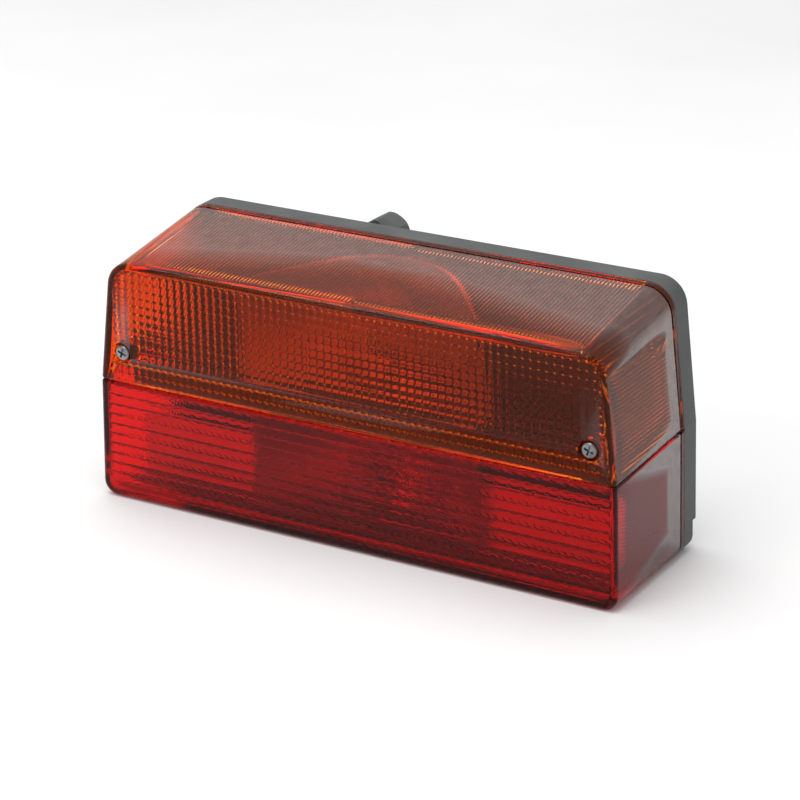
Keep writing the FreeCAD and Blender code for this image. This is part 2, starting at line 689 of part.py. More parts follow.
def socket_insulator(colour):
    height = BULB_Z[colour]
    strip, insulator, flange = socket_levels()
    half = FLANGE_RADIUS + INSULATOR_MARGIN
    heights = (height - half, height + half)
    plate = rounded_box((-half, half), (insulator, strip), heights, INSULATOR_CORNER, INSULATOR_CORNER)
    for sign in (-1, 1):
        plate = plate.cut(rod(sign * RIVET_X, height, insulator - 1, strip + 1, RIVET_HOLE_RADIUS))
        spot = (sign * POST_OFFSET[0], height - sign * POST_OFFSET[1])
        plate = plate.cut(rod(*spot, insulator - 1, strip + 1, POST_RADIUS + 0.2))
    for offset in contact_spots(colour):
        plate = plate.cut(rod(0, height + offset, insulator - 1, strip + 1, CONTACT_RADIUS + 0.5))
    return plate


def socket_rivets():
    rivets = []
    strip, insulator, flange = socket_levels()
    for colour, height in BULB_Z.items():
        for sign in (-1, 1):
            spot = (sign * RIVET_X, height)
            shank = rod(*spot, flange, rivet_seat_y(), RIVET_RADIUS)
            head = rod(*spot, flange - RIVET_HEAD_HEIGHT, flange, RIVET_HEAD_RADIUS)
            tail = rod(*spot, rivet_seat_y(), rivet_seat_y() + RIVET_HEAD_HEIGHT, RIVET_HEAD_RADIUS)
            rivets.append(fuse_all([shank, head, tail]))
    return Part.Compound(rivets)


def contact_disc(colour):
    """The insulating disc that carries the contacts and slides in the socket."""
    height = BULB_Z[colour]
    disc = rod(0, height, *DISC_Y, DISC_RADIUS)
    for offset in contact_spots(colour):
        disc = disc.cut(rod(0, height + offset, DISC_Y[0] - 1, DISC_Y[1] + 1, CONTACT_STEM_RADIUS))
    return disc


def contact_pins(colour):
    pins = []
    for offset in contact_spots(colour):
        spot = (0, BULB_Z[colour] + offset)
        head = rod(*spot, CONTACT_Y, DISC_Y[0], CONTACT_RADIUS)
        stem = rod(*spot, DISC_Y[0], DISC_Y[1] + 0.5, CONTACT_STEM_RADIUS)
        pins.append(head.fuse(stem))
    return Part.Compound(pins)


def contact_springs(colour):
    strip = socket_levels()[0]
    start = DISC_Y[1] + SPRING_WIRE
    length = strip - SPRING_WIRE - start
    coils = [
        helix(0, BULB_Z[colour] + offset, start, length, SPRING_RADIUS, SPRING_WIRE, SPRING_TURNS)
        for offset in contact_spots(colour)
    ]
    return Part.Compound(coils)


# ---- bulbs ----
def along_bulb(distance):
    """The depth of a point on a bulb's axis, measured forwards from its pins."""
    return PIN_Y - distance


def bulb_rod(colour, start, end, radius, x=0.0, up=0.0):
    return rod(x, BULB_Z[colour] + up, along_bulb(end), along_bulb(start), radius)


def bulb_envelope(colour, wall):
    centre = at(0, along_bulb(BULB_CENTRE), BULB_Z[colour])
    ball = Part.makeSphere(BULB_RADIUS - wall, centre)
    neck = bulb_rod(colour, BULB_NECK_START - wall, BULB_CENTRE, BULB_NECK_RADIUS - wall)
    shape = ball.fuse(neck)
    near, far = along_bulb(BULB_CENTRE - 8), along_bulb(BULB_CENTRE - 13)
    rings = [e for e in shape.Edges if e.BoundBox.YLength < 0.01]
    waist = [e for e in rings if far > e.BoundBox.YMax > near]
    return shape.makeFillet(NECK_FILLET, waist)


def bulb_glass(colour):
    return bulb_envelope(colour, 0.0).cut(bulb_envelope(colour, GLASS_WALL))


def bulb_cap(colour):
    outer = bulb_rod(colour, -CAP_BELOW_PINS, CAP_ABOVE_PINS, CAP_RADIUS)
    cap = outer.cut(bulb_rod(colour, -CAP_BELOW_PINS - 1, CAP_ABOVE_PINS + 1, CAP_RADIUS - CAP_WALL))
    height = BULB_Z[colour]
    for sign in (-1, 1):
        root = CAP_RADIUS - PIN_ROOT
        start = at(sign * root, PIN_Y + pin_offset(colour, sign), height)
        pin = Part.makeCylinder(PIN_RADIUS, PIN_REACH - root, start, Vector(sign, 0, 0))
        cap = cap.fuse(pin)
    return cap


def bulb_base(colour):
    """The black glass that closes the cap round the solder contacts."""
    foot = -CAP_BELOW_PINS
    base = bulb_rod(colour, foot, foot + BASE_DEPTH, CAP_RADIUS - CAP_WALL - 0.02)
    end = at(0, along_bulb(foot) + SOLDER_SINK, BULB_Z[colour])
    wide = CAP_RADIUS - CAP_WALL - 0.6
    base = base.fuse(Part.makeCone(NOSE_RADIUS[colour], wide, SOLDER_SINK, end, Vector(0, -1, 0)))
    for offset in contact_spots(colour):
        base = base.cut(bulb_rod(colour, foot - 2, foot + SOLDER_SINK, SOLDER_RADIUS, 0.0, offset))
    return base


def bulb_contacts(colour):
    domes = []
    back, front = -CAP_BELOW_PINS - SOLDER_HEIGHT, -CAP_BELOW_PINS + SOLDER_SINK
    for offset in contact_spots(colour):
        dome = bulb_rod(colour, back, front, SOLDER_RADIUS, 0.0, offset)
        rear_edge = [e for e in dome.Edges if e.BoundBox.YMin > along_bulb(back + 0.1)]
        domes.append(dome.makeFillet(0.4, rear_edge))
    return Part.Compound(domes)


def filament_spots(colour):
    """Forward distance, height and half-length of each filament."""
    main = (FILAMENT_HEIGHT, 0.0, FILAMENT_HALF)
    if colour == "amber":
        return [main]
    behind, above, half = TAIL_FILAMENT
    return [main, (FILAMENT_HEIGHT - behind, above, half)]


def bulb_filaments(colour):
    coils = []
    for forward, up, half in filament_spots(colour):
        path = Part.makeHelix(2 * half / FILAMENT_TURNS, 2 * half, FILAMENT_RADIUS)
        section = Part.Wire(Part.makeCircle(FILAMENT_WIRE, Vector(FILAMENT_RADIUS, 0, 0), Y_AXIS))
        coil = Part.Wire(path).makePipeShell([section], True, True)
        coil.rotate(Vector(0, 0, 0), Y_AXIS, 90)
        coil.translate(at(-half, along_bulb(forward), BULB_Z[colour] + up))
        coils.append(coil)
    return Part.Compound(coils)


def bulb_supports(colour):
    """The wires that hold each filament, standing on the glass stem."""
    wires = []
    for forward, up, half in filament_spots(colour):
        for sign in (-1, 1):
            x = sign * (half + 0.35)
            wires.append(bulb_rod(colour, SUPPORT_FOOT, forward + 0.8, SUPPORT_RADIUS, x, up))
    return Part.Compound(wires)


def bulb_stem(colour):
    """The flattened glass stem inside the neck."""
    foot = bulb_rod(colour, *STEM_FOOT, BULB_NECK_RADIUS - GLASS_WALL - 0.3)
    depth = (along_bulb(STEM_PRESS[1]), along_bulb(STEM_PRESS[0]))
    heights = tuple(BULB_Z[colour] + above for above in STEM_HEIGHTS)
    width = (-STEM_HALF_WIDTH, STEM_HALF_WIDTH)
    return foot.fuse(rounded_box(width, depth, heights, STEM_CORNER, STEM_CORNER))


# ---- wiring ----
def flat_strip(path):
    """A brass strip on the floor along a path of (x, height) points joined by square corners."""
    half = STRIP_WIDTH / 2
    runs = []
    for (x_0, height_0), (x_1, height_1) in zip(path, path[1:]):
        x_range = (min(x_0, x_1) - half, max(x_0, x_1) + half)
        heights = (min(height_0, height_1) - half, max(height_0, height_1) + half)
        runs.append(slab(x_range, (FLOOR_Y - SHEET, FLOOR_Y), heights))
    return fuse_all(runs)


def strip_path(circuit):
    height = TERMINAL_HEIGHTS[circuit]
    start = (TERMINAL_X, height)
    if circuit == "indicator":
        contact = BULB_Z["amber"]
        below = contact - INDICATOR_DROP
        return [start, (INDICATOR_TURN_X, height), (INDICATOR_TURN_X, below), (0, below), (0, contact)]
    if circuit == "earth":
        return [start, (EARTH_X, height), (EARTH_X, BULB_Z["amber"])]
    contact = BULB_Z["red"] + (TWIN_OFFSET if circuit == "stop" else -TWIN_OFFSET)
    return [start, (TWIN_TURN_X, height), (TWIN_TURN_X, contact), (0, contact)]


def contact_strip(circuit):
    strip = flat_strip(strip_path(circuit))
    if circuit == "earth":
        for height in BULB_Z.values():
            strip = strip.cut(rod(RIVET_X, height, FLOOR_Y - 2, FLOOR_Y + 1, RIVET_HOLE_RADIUS))
    return strip


def terminal_block():
    past_screw = TERMINAL_PITCH / 2 - BLOCK_MARGIN
    heights = (min(TERMINAL_HEIGHTS.values()) - past_screw, max(TERMINAL_HEIGHTS.values()) + past_screw)
    half = BLOCK_WIDTH / 2
    width = (TERMINAL_X - half, TERMINAL_X + half)
    block = rounded_box(width, (BLOCK_FRONT_Y, FLOOR_Y), heights, BLOCK_CORNER, BLOCK_CORNER)
    cavity = CLAMP_CAVITY_HALF
    channel_half = STRIP_WIDTH / 2 + STRIP_GAP
    cavity_depth = (BLOCK_FRONT_Y + BLOCK_FRONT_WALL, FLOOR_Y + 1)
    channel_depth = (FLOOR_Y - SHEET - STRIP_GAP, FLOOR_Y + 1)
    for height in TERMINAL_HEIGHTS.values():
        x_range = (TERMINAL_X - cavity, TERMINAL_X + cavity)
        block = block.cut(slab(x_range, cavity_depth, (height - cavity, height + cavity)))
        block = block.cut(rod(TERMINAL_X, height, BLOCK_FRONT_Y - 1, FLOOR_Y, TERMINAL_SCREW_WELL))
        channel = (height - channel_half, height + channel_half)
        block = block.cut(slab((TERMINAL_X, TERMINAL_X + half + 1), channel_depth, channel))
        entry = at(TERMINAL_X - half - 1, WIRE_ENTRY_Y, height)
        block = block.cut(Part.makeCylinder(WIRE_ENTRY_RADIUS, half, entry, Vector(1, 0, 0)))
    return block


def terminal_clamps():
    clamps = []
    half = CLAMP_HALF
    depth = (BLOCK_FRONT_Y + BLOCK_FRONT_WALL + 0.2, FLOOR_Y - SHEET)
    hole = TERMINAL_SCREW_RADIUS + RUNNING_CLEARANCE
    for height in TERMINAL_HEIGHTS.values():
        clamp = slab((TERMINAL_X - half, TERMINAL_X + half), depth, (height - half, height + half))
        clamp = clamp.cut(rod(TERMINAL_X, height, BLOCK_FRONT_Y, -10, hole))
        entry = at(TERMINAL_X - 4, WIRE_ENTRY_Y, height)
        clamps.append(clamp.cut(Part.makeCylinder(CLAMP_ENTRY_RADIUS, 6, entry, Vector(1, 0, 0))))
    return Part.Compound(clamps)


def terminal_screw(height):
    radius, head_height = TERMINAL_SCREW_HEAD
    top = BLOCK_FRONT_Y + 0.3
    head = rod(TERMINAL_X, height, top, top + head_height, radius)
    shank = rod(TERMINAL_X, height, top + head_height, TERMINAL_SCREW_END_Y, TERMINAL_SCREW_RADIUS)
    return slotted(head.fuse(shank), TERMINAL_X, top, height)


# ---- mounting studs and cable entry ----
def mounting_studs():
    """Hexagon-head studs with a square neck that stops them turning in the housing."""
    studs = []
    for x in (-STUD_X, STUD_X):
        head_y = (FLOOR_Y - STUD_HEAD_HEIGHT, FLOOR_Y)
        head = hex_bar(x, -MID_Z, *head_y, STUD_HEAD_FLATS, STUD_HEAD_ROUND)
        half = NECK_HALF - NECK_CLEARANCE
        neck = slab((x - half, x + half), (FLOOR_Y, STUD_PLAIN_Y[0]), (-MID_Z - half, -MID_Z + half))
        plain = rod(x, -MID_Z, *STUD_PLAIN_Y, STUD_RADIUS)
        thread = rod(x, -MID_Z, STUD_PLAIN_Y[1], STUD_END_Y, THREAD_RADIUS)
        end = [e for e in thread.Edges if e.BoundBox.YMin > STUD_END_Y - 0.01]
        studs.append(fuse_all([head, neck, plain, thread.makeChamfer(STUD_CHAMFER, end)]))
    return Part.Compound(studs)


def stud_washers():
    discs = [
        tube(x, -MID_Z, WASHER_Y, WASHER_Y + WASHER_THICKNESS, WASHER_RADIUS, THREAD_RADIUS + 0.3)
        for x in (-STUD_X, STUD_X)
    ]
    return Part.Compound(discs)


def stud_spring_washers():
    """Split spring washers, cut across at one side."""
    rings = []
    start = WASHER_Y + WASHER_THICKNESS
    for x in (-STUD_X, STUD_X):
        depth = (start, start + WASHER_THICKNESS)
        ring = tube(x, -MID_Z, *depth, SPRING_WASHER_RADIUS, THREAD_RADIUS + 0.2)
        split = (-MID_Z - SPRING_WASHER_SPLIT / 2, -MID_Z + SPRING_WASHER_SPLIT / 2)
        rings.append(ring.cut(slab((x, x + 10), depth, split)))
    return Part.Compound(rings)


def mounting_nut(x):
    start = WASHER_Y + 2 * WASHER_THICKNESS + NUT_GAP
    nut = hex_bar(x, -MID_Z, start, start + NUT_HEIGHT, NUT_FLATS, NUT_ROUND)
    return nut.cut(rod(x, -MID_Z, start - 1, start + NUT_HEIGHT + 1, THREAD_RADIUS + RUNNING_CLEARANCE))


def cable_seal():
    seat = SEAL_SEAT_Y + 0.1
    return tube(GLAND_X, GLAND_Z, seat, seat + SEAL_LENGTH, SEAL_SEAT_RADIUS - 0.1, CABLE_RADIUS)


def gland_washer():
    return tube(GLAND_X, GLAND_Z, *GLAND_WASHER_Y, SEAL_SEAT_RADIUS - 0.1, CABLE_RADIUS + 0.7)


def gland_nut():
    """The faceted cap nut over the cable spout, with a rounded end."""
    start, end = GLAND_NUT_Y
    nut = hex_bar(GLAND_X, GLAND_Z, start, end, GLAND_NUT_FLATS, GLAND_NUT_ROUND)
    dome = rod(GLAND_X, GLAND_Z, start, end, GLAND_NUT_ROUND)
    end_edge = [e for e in dome.Edges if e.BoundBox.YMin > end - 0.01]
    nut = nut.common(dome.makeFillet(GLAND_NUT_DOME, end_edge))
    nut = nut.cut(rod(GLAND_X, GLAND_Z, start - 1, GLAND_NUT_BORE_Y, SPOUT_RADIUS + RUNNING_CLEARANCE))
    return nut.cut(rod(GLAND_X, GLAND_Z, start, end + 1, GLAND_HOLE))


# ---- all nodes ----
def all_nodes():
    nodes = {
        "housing": housing(),
        "lens_gasket": lens_gasket(),
        "amber_lens": amber_lens(),
        "red_lens": red_lens(),
        "left_lens_screw": lens_screw(-SCREW_X),
        "right_lens_screw": lens_screw(SCREW_X),
        "lens_screw_seals": lens_screw_seals(),
        "reflector_screws": reflector_screws(),
        "socket_rivets": socket_rivets(),
        "terminal_block": terminal_block(),
        "terminal_clamps": terminal_clamps(),
        "mounting_studs": mounting_studs(),
        "stud_washers": stud_washers(),
        "stud_spring_washers": stud_spring_washers(),
        "left_mounting_nut": mounting_nut(-STUD_X),
        "right_mounting_nut": mounting_nut(STUD_X),
        "cable_seal": cable_seal(),
        "gland_washer": gland_washer(),
        "gland_nut": gland_nut(),
    }
    for circuit, height in TERMINAL_HEIGHTS.items():
        nodes[circuit + "_strip"] = contact_strip(circuit)
        nodes[circuit + "_terminal_screw"] = terminal_screw(height)
    for colour in BULB_Z:
        nodes[colour + "_reflector"] = reflector(colour)
        nodes[colour + "_socket_shell"] = socket_shell(colour)
        nodes[colour + "_socket_insulator"] = socket_insulator(colour)
        nodes[colour + "_contact_disc"] = contact_disc(colour)
        nodes[colour + "_contact_pins"] = contact_pins(colour)
        nodes[colour + "_contact_springs"] = contact_springs(colour)
        nodes[colour + "_bulb_glass"] = bulb_glass(colour)
        nodes[colour + "_bulb_cap"] = bulb_cap(colour)
        nodes[colour + "_bulb_base"] = bulb_base(colour)
        nodes[colour + "_bulb_contacts"] = bulb_contacts(colour)
        nodes[colour + "_bulb_filaments"] = bulb_filaments(colour)
        nodes[colour + "_bulb_supports"] = bulb_supports(colour)
        nodes[colour + "_bulb_stem"] = bulb_stem(colour)
    return nodes


os.makedirs("parts", exist_ok=True)
for name, shape in all_nodes().items():
    volume = sum(solid.Volume for solid in shape.Solids)
    print(f"{name}: {len(shape.Solids)} solids, {volume:.1f} mm3, valid {shape.isValid()}")
    shape.exportStep(os.path.join("parts", name + ".step"))
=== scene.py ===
"""A trailer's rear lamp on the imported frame: the lens optics, the finishes, the studio and the camera.

Metres, in the frame's own axes: +X right seen from the front, +Z up, the lamp shines towards -Y.
"""

import json
import math

import bmesh
import bpy
import numpy as np
from mathutils import Matrix, Vector
from mathutils.bvhtree import BVHTree
from mathutils.geometry import delaunay_2d_cdt


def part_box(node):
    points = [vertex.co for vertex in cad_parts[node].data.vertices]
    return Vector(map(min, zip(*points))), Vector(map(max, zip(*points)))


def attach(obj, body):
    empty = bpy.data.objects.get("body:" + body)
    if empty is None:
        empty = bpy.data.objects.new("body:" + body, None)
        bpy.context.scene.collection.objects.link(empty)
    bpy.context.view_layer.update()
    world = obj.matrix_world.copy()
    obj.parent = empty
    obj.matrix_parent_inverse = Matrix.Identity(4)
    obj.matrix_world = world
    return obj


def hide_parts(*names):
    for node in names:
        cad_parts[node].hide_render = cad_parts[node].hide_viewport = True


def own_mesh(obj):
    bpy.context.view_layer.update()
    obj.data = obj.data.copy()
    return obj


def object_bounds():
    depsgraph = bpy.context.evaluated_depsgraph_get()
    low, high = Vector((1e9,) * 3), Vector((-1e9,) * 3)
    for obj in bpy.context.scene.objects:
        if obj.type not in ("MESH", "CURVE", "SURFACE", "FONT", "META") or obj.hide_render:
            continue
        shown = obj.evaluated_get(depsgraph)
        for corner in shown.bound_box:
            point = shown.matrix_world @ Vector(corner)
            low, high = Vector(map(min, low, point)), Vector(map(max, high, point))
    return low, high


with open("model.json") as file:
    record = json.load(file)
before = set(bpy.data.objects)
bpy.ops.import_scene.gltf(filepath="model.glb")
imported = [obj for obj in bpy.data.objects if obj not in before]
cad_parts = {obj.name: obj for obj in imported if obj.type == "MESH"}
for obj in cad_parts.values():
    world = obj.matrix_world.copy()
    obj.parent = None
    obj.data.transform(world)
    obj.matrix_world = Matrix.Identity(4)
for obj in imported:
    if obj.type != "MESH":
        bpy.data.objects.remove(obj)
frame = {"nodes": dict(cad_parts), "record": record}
cad_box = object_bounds()

MM = 0.001

# ---- camera ----
AZIMUTH = 30.3              # degrees, from straight ahead towards the lamp's right side
ELEVATION = 21.9
ROLL = -0.6
DISTANCE = 1161 * MM
FOCAL_LENGTH = 128.0        # millimetres, on a 36 mm sensor
AIM_FROM_LENS = Vector((8.2, -1.5, 0.0)) * MM   # the aim point, from the middle of the two lenses

# ---- lens ----
MID_HEIGHT = 21 * MM        # the lamp's mid-height in the frame; a wall's heights below are from here
EDGE_MARGIN = 0.35 * MM     # grid points keep this far from the rim of their wall
EDGE_FADE = 1.2 * MM        # the optics rise to full depth over this distance
LONG_STEP = 6 * MM          # between grid lines across prisms, where the depth doesn't change
PILLOW_PITCH = 3.46 * MM
PILLOW_DEPTH = 1.5 * MM
PILLOW_STEPS = 6
PILLOW_SEAM_SHARE = 0.3     # of the pillows' depth is left beside the seam
SEAM_FADE = (-4 * MM, 5 * MM)           # they begin to deepen at this height, and go on for this far
RIB_PITCH = 1.7 * MM
RIB_DEPTH = 0.82 * MM       # nearly square prisms, which throw the light from above back out
RIB_STEEP_SHARE = 0.38      # the steeper side's share of each prism's width
SIDE_RIB_DEPTH = 0.34 * MM
RIB_STEPS = 4
FLUTE_PITCH = 4.45 * MM
FLUTE_DEPTH = 0.95 * MM
FLUTE_CREASE = -19.2 * MM   # height of one crease between flutes
FLUTE_STEPS = 10
FLUTE_UNDER_STUDS = 0.4     # of the flutes' depth is left under the studs
STUD_PITCH = 3.42 * MM      # rows of small prisms lie along every second crease
STUD_HALF = 1.2 * MM
STUD_DEPTH = 0.9 * MM
STUD_STEPS = 6
STUD_ROWS_X = ((-111 * MM, -45 * MM), (10 * MM, 116 * MM))
WINDOW_X = (-19 * MM, 20 * MM)          # the framed field for an approval mark, left blank
WINDOW_HEIGHTS = (9 * MM, 29 * MM)
WINDOW_FRAME = 0.7 * MM
WINDOW_RIM = 0.5 * MM
CORNER_PITCH = 2.7 * MM
CORNER_DEPTH = 0.7 * MM
CORNER_STEPS = 4
CORNER_LOWEST = 33 * MM     # the rounded top corners' inner faces lie above this height
CORNER_REACH = 0.76         # cosine of the widest angle between those faces and the corner's middle
FROST_PITCH = 1.5 * MM
FROST_DEPTH = 0.22 * MM
FROST_STEPS = 2
FROST_SWAYS = ((1.3, 900), (1.7, 1100))     # how far, and how often per metre, the stipple's rows sway

# ---- finding the lenses' walls ----
WALL_TOWARDS = 0.94         # cosine of the widest angle between a flat wall's faces and its stated facing
WALL_ALIKE = 0.998          # cosine of the widest angle between the faces of one flat wall
WALL_FLATNESS = 0.8 * MM
RAY_REACH = 0.5             # metres out from the wall, from where the old surface is looked for
WELD = 2e-6                 # metres, between points of the mesh that are one
TINY_EDGE = 1e-7
SHARP_ANGLE = 24            # degrees; gentler edges are shaded smooth


def lens_middle():
    """The middle of the two lenses' common box."""
    lows, highs = zip(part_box("amber_lens"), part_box("red_lens"))
    low = Vector([min(p[i] for p in lows) for i in range(3)])
    high = Vector([max(p[i] for p in highs) for i in range(3)])
    return (low + high) / 2


# ---- patterned walls ----
def cushion(position, pitch):
    """A parabolic ridge that repeats: 1 in the middle of each pitch and 0 at its creases."""
    share = position / pitch - np.floor(position / pitch)
    return 1 - (2 * share - 1) ** 2


def prism(position, pitch, crest=0.5):
    """A triangular ridge that repeats: 1 at the crest, a share of the way across, and 0 at its creases."""
    share = position / pitch - np.floor(position / pitch)
    return np.minimum(share / crest, (1 - share) / (1 - crest))


def ramp(distance, width):
    return np.clip(distance / width, 0, 1)


def amber_front_relief(x, height):
    """Square pillows, with a thin raised frame round the approval field."""
    pillows = PILLOW_DEPTH * (cushion(x, PILLOW_PITCH) + cushion(height, PILLOW_PITCH)) / 2
    inside = np.minimum(
        np.minimum(x - WINDOW_X[0], WINDOW_X[1] - x),
        np.minimum(height - WINDOW_HEIGHTS[0], WINDOW_HEIGHTS[1] - height),
    )
    off_frame = ramp(np.abs(inside), WINDOW_FRAME)
    near_seam = PILLOW_SEAM_SHARE + (1 - PILLOW_SEAM_SHARE) * ramp(height - SEAM_FADE[0], SEAM_FADE[1])
    return (pillows * off_frame + WINDOW_RIM * (1 - off_frame)) * near_seam


def rib_relief(across, along):
    return RIB_DEPTH * prism(across, RIB_PITCH, RIB_STEEP_SHARE)


def side_rib_relief(across, along):
    return SIDE_RIB_DEPTH * prism(along, RIB_PITCH)


def corner_relief(across, along):
    return CORNER_DEPTH * prism(across, CORNER_PITCH)


def frost_relief(across, along):
    """A fine uneven stipple."""
    (sway, often), (sway_back, often_back) = FROST_SWAYS
    first = np.sin(across * math.tau / FROST_PITCH + sway * np.sin(along * often))
    second = np.sin(along * math.tau / FROST_PITCH + sway_back * np.sin(across * often_back))
    return FROST_DEPTH * (2 + first + second) / 2


def red_front_relief(x, height):
    """Lying flutes with rows of small prisms along their creases."""
    from_crease = height - FLUTE_CREASE
    flutes = FLUTE_DEPTH * cushion(from_crease, FLUTE_PITCH)
    row_pitch = 2 * FLUTE_PITCH
    nearest = np.abs(from_crease - np.round(from_crease / row_pitch) * row_pitch)
    in_row = ramp(STUD_HALF - nearest, STUD_HALF)
    here = sum((x > low) & (x < high) for low, high in STUD_ROWS_X)
    below_shoulder = height < FLUTE_CREASE + STUD_HALF
    studs = STUD_DEPTH * cushion(x, STUD_PITCH) * in_row * here * below_shoulder
    return np.maximum(flutes, studs + FLUTE_UNDER_STUDS * flutes) + frost_relief(x, height)


def steps(low, high, spacing, phase=0.0):
    """Grid lines at whole multiples of spacing from phase, between low and high."""
    first = math.ceil((low - phase) / spacing)
    last = math.floor((high - phase) / spacing)
    return phase + spacing * np.arange(first, last + 1)


def inner_faces(bm, facing, least):
    """Faces that look across the lens this way from its far side, as only its inner walls do."""
    middle = sum((v.co for v in bm.verts), Vector()) / len(bm.verts)
    return [
        f for f in bm.faces
        if f.normal.dot(facing) > least and (f.calc_center_median() - middle).dot(facing) < 0
    ]


def flat_wall(bm, facing):
    """The faces of the largest nearly flat wall inside a lens that faces this way, with its normal."""
    facing = Vector(facing).normalized()
    towards = inner_faces(bm, facing, WALL_TOWARDS)
    planes = {}
    for face in towards:
        key = tuple(round(c, 2) for c in face.normal) + (round(face.normal.dot(face.verts[0].co), 4),)
        planes[key] = planes.get(key, 0) + face.calc_area()
    best = max(planes, key=planes.get)
    normal = Vector(best[:3]).normalized()
    level = best[3]
    return [
        f for f in towards
        if f.normal.dot(normal) > WALL_ALIKE
        and all(abs(v.co.dot(normal) - level) < WALL_FLATNESS for v in f.verts)
    ], normal


def corner_wall(bm, facing):
    """The curved inner faces of a rounded top corner, between the flat walls beside it."""
    facing = Vector(facing).normalized()
    lowest = MID_HEIGHT + CORNER_LOWEST
    towards = inner_faces(bm, facing, CORNER_REACH)
    return [f for f in towards if min(v.co.z for v in f.verts) > lowest], facing


def in_outline(points, starts, ends):
    """Which points lie inside the closed outlines, holes left out, by crossings of a level line."""
    inside = np.zeros(len(points), bool)
    for (ax, ay), (bx, by) in zip(starts, ends):
        crosses = (ay > points[:, 1]) != (by > points[:, 1])
        if ay == by:
            continue
        meets = ax + (points[:, 1] - ay) * (bx - ax) / (by - ay)
        inside ^= crosses & (points[:, 0] < meets)
    return inside


def outline_distance(points, starts, ends):
    """How far each point lies from the nearest edge of the outlines."""
    nearest = np.full(len(points), 1.0)
    for start, end in zip(starts, ends):
        run = end - start
        length = max(float(run @ run), 1e-18)
        share = np.clip(((points - start) @ run) / length, 0, 1)
        nearest = np.minimum(nearest, np.hypot(*(points - start - share[:, None] * run).T))
    return nearest


def surface_tree(faces):
    """The faces as a surface that rays can be cast at, which stays when they are deleted."""
    corners = []
    polygons = []
    for face in faces:
        polygons.append(list(range(len(corners), len(corners) + len(face.verts))))
        corners.extend(v.co.copy() for v in face.verts)
    return BVHTree.FromPolygons(corners, polygons)


def rim_of(bm, faces):
    """The edges round a patch of faces, and their points."""
    chosen = set(faces)
    edges = [e for e in bm.edges if sum(f in chosen for f in e.link_faces) == 1]
    return edges, list(dict.fromkeys(v for e in edges for v in e.verts))


def grid_inside(flat, starts, ends, grid, relief):
    """Grid points inside the outlines, clear of their edges, with the depth of the optics at each."""
    first = steps(flat[:, 0].min(), flat[:, 0].max(), grid[0])
    second = steps(flat[:, 1].min(), flat[:, 1].max(), grid[1], grid[2])
    spots = np.array([(a, b) for a in first for b in second])
    spots = spots[in_outline(spots, starts, ends)]
    distance = outline_distance(spots, starts, ends)
    spots = spots[distance > EDGE_MARGIN]
    distance = distance[distance > EDGE_MARGIN]
    return spots, relief(spots[:, 0], spots[:, 1]) * ramp(distance, EDGE_FADE)


def remove_patch(bm, faces):
    """Deletes the faces and the edges that only they used; the rim's points stay."""
    bmesh.ops.delete(bm, geom=faces, context="FACES_ONLY")
    loose = [e for e in bm.edges if not e.link_faces]
    bmesh.ops.delete(bm, geom=loose, context="EDGES")


def repattern(bm, facing, across, grid, relief, find):
    """Replaces a lens's inner wall with one that carries optics.

    across is the direction of the grid's first coordinate; the second one is square to it, on the wall.
    grid is (first spacing, second spacing, second phase), and relief gives the depth at arrays of both.
    """
    faces, normal = find(bm, facing)
    across = (Vector(across) - normal * Vector(across).dot(normal)).normalized()
    along = normal.cross(across)
    if along.dot(Vector((0, 1, 1))) < 0:
        along = -along
    old_surface = surface_tree(faces)
    rim, rim_verts = rim_of(bm, faces)
    place = {v: i for i, v in enumerate(rim_verts)}

    origin = Vector((0, 0, MID_HEIGHT))
    flat = np.array([((v.co - origin).dot(across), (v.co - origin).dot(along)) for v in rim_verts])
    rim_edges = [(place[e.verts[0]], place[e.verts[1]]) for e in rim]
    starts = flat[[a for a, b in rim_edges]]
    ends = flat[[b for a, b in rim_edges]]
    spots, depth = grid_inside(flat, starts, ends, grid, relief)

    points = [Vector(p) for p in flat] + [Vector(p) for p in spots]
    found, _, triangles, sources, _, _ = delaunay_2d_cdt(points, rim_edges, [], 1, TINY_EDGE)
    remove_patch(bm, faces)
    made = []
    for i, point in enumerate(found):
        source = sources[i][0] if sources[i] else -1
        if 0 <= source < len(flat):
            made.append(rim_verts[source])
            continue
        deep = depth[source - len(flat)] if source >= 0 else 0.0
        level = origin + across * point.x + along * point.y
        level -= normal * (level.dot(normal))
        hit = old_surface.ray_cast(level + normal * RAY_REACH, -normal)[0]
        hit = hit or old_surface.find_nearest(level)[0]
        made.append(bm.verts.new(hit + normal * deep))
    centres = np.array([np.mean([found[i] for i in t], axis=0) for t in triangles])
    kept = in_outline(centres, starts, ends)
    for triangle, keep in zip(triangles, kept):
        corners = [made[i] for i in triangle]
        if keep and len(set(corners)) == 3:
            bm.faces.new(corners)


def patterned_lens(name, node, walls):
    """A lens of the CAD node's own shape, with optics moulded into its inner walls."""
    bm = bmesh.new()
    bm.from_mesh(frame["nodes"][node].data)
    bmesh.ops.remove_doubles(bm, verts=bm.verts, dist=WELD)
    bmesh.ops.dissolve_degenerate(bm, edges=bm.edges, dist=TINY_EDGE)
    bm.normal_update()
    for settings in walls:
        repattern(bm, **settings)
        bm.normal_update()
    bmesh.ops.recalc_face_normals(bm, faces=bm.faces)
    mesh = bpy.data.meshes.new(name)
    bm.to_mesh(mesh)
    bm.free()
    mesh.shade_smooth()
    mesh.set_sharp_from_angle(angle=math.radians(SHARP_ANGLE))
    piece = bpy.data.objects.new(name, mesh)
    bpy.context.scene.collection.objects.link(piece)
    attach(piece, "lens")
    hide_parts(node)
    return piece


